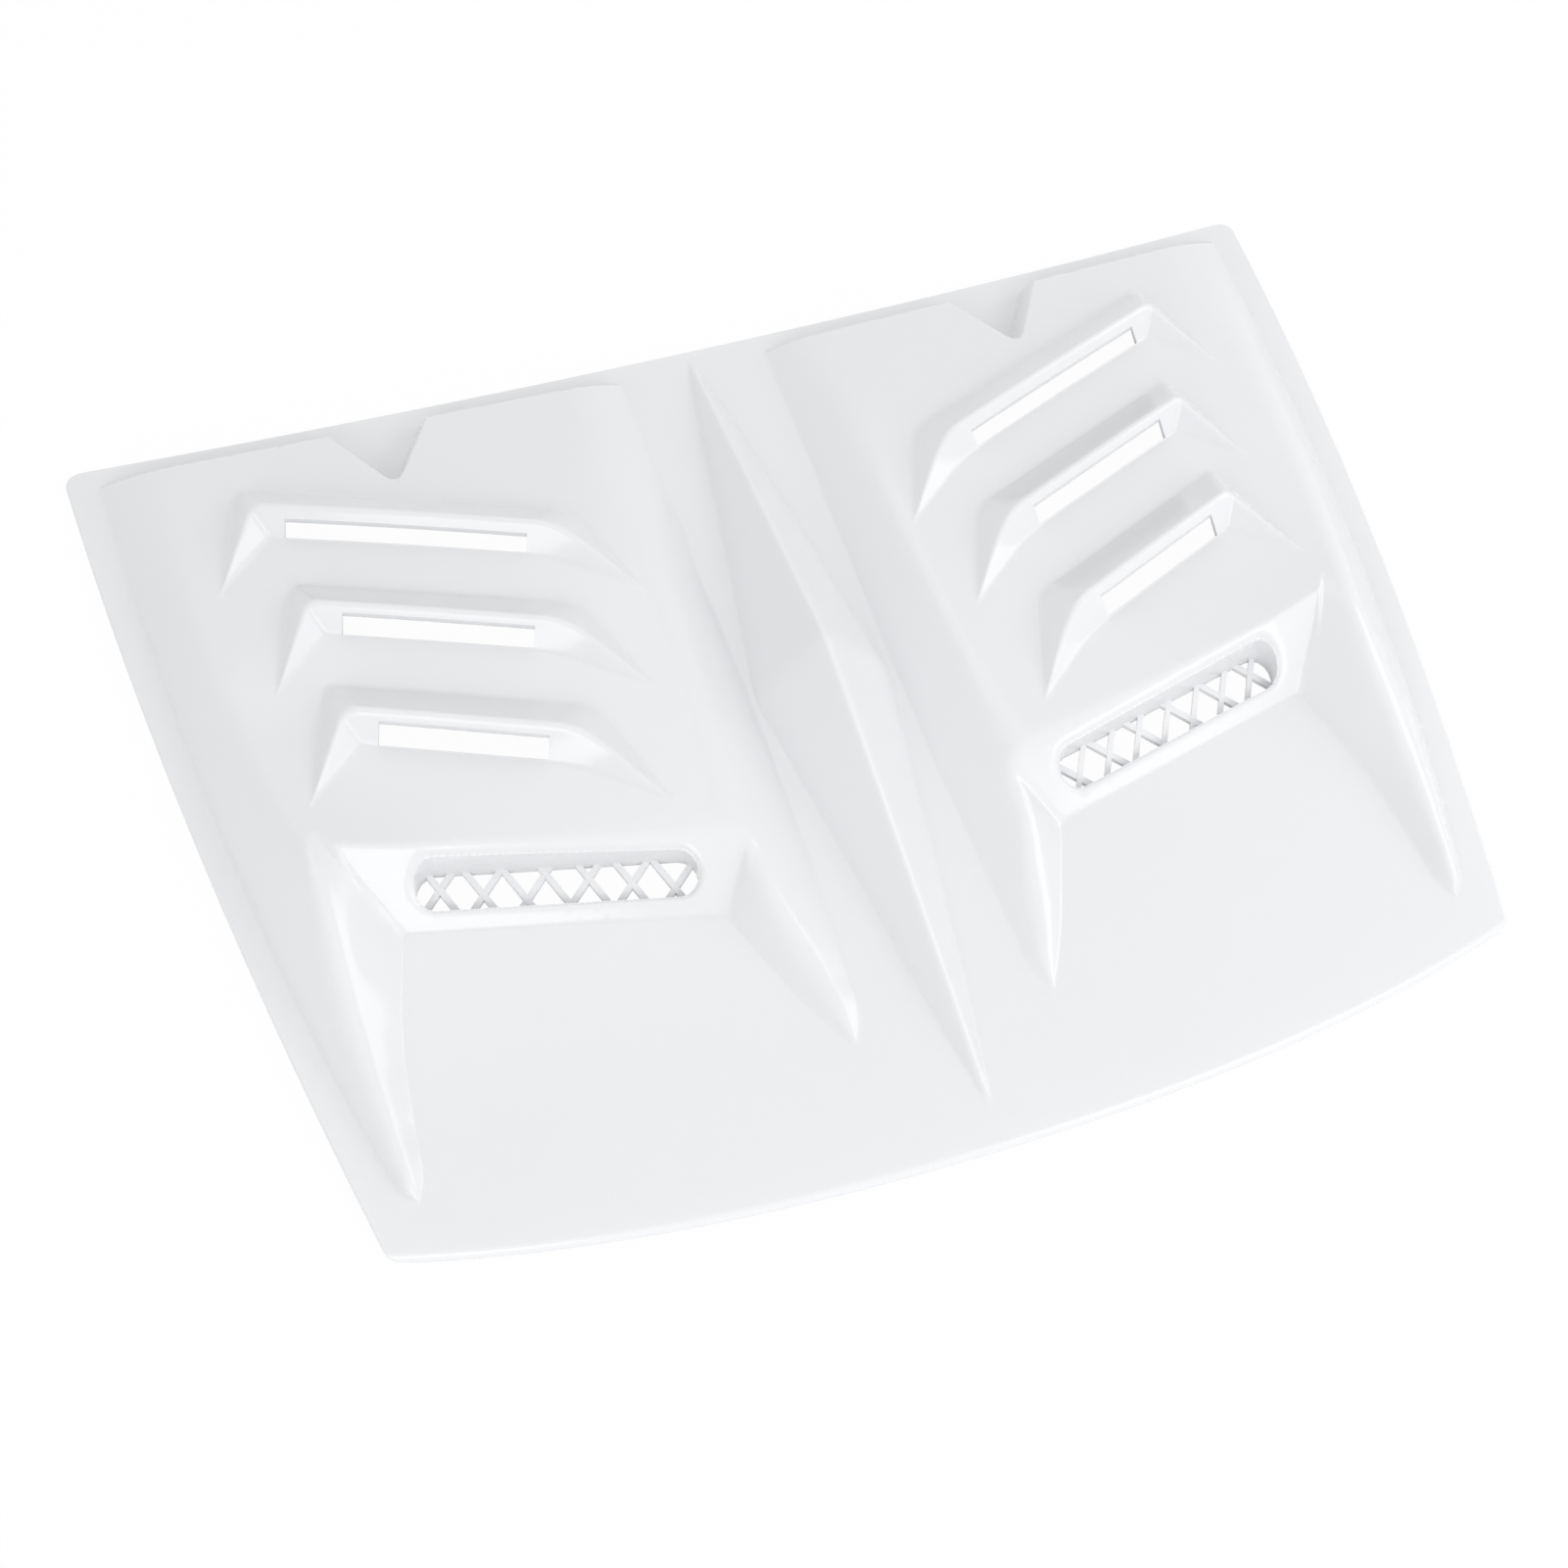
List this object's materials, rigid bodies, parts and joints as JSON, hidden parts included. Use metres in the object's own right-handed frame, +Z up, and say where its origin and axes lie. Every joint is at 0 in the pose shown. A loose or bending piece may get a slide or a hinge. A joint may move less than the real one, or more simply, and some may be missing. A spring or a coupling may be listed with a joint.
{
  "type": "car bonnet vent",
  "caption": "Moulded plastic bonnet vent panel with swept louvres, latticed scoops and a faceted centre spine.",
  "frame": {"origin": "centre of the bounding box on the surface that the panel rests on", "axes": "-Y to the front of the car, +X across it to the right as seen from the front, +Z up out of the bonnet"},
  "size_m": [1.0976, 0.8066, 0.0791],
  "materials": {
    "white_gloss_plastic": "gloss white, as moulded and ready for paint"
  },
  "bodies": {
    "root": {"panel": "white_gloss_plastic"}
  },
  "joints": []
}
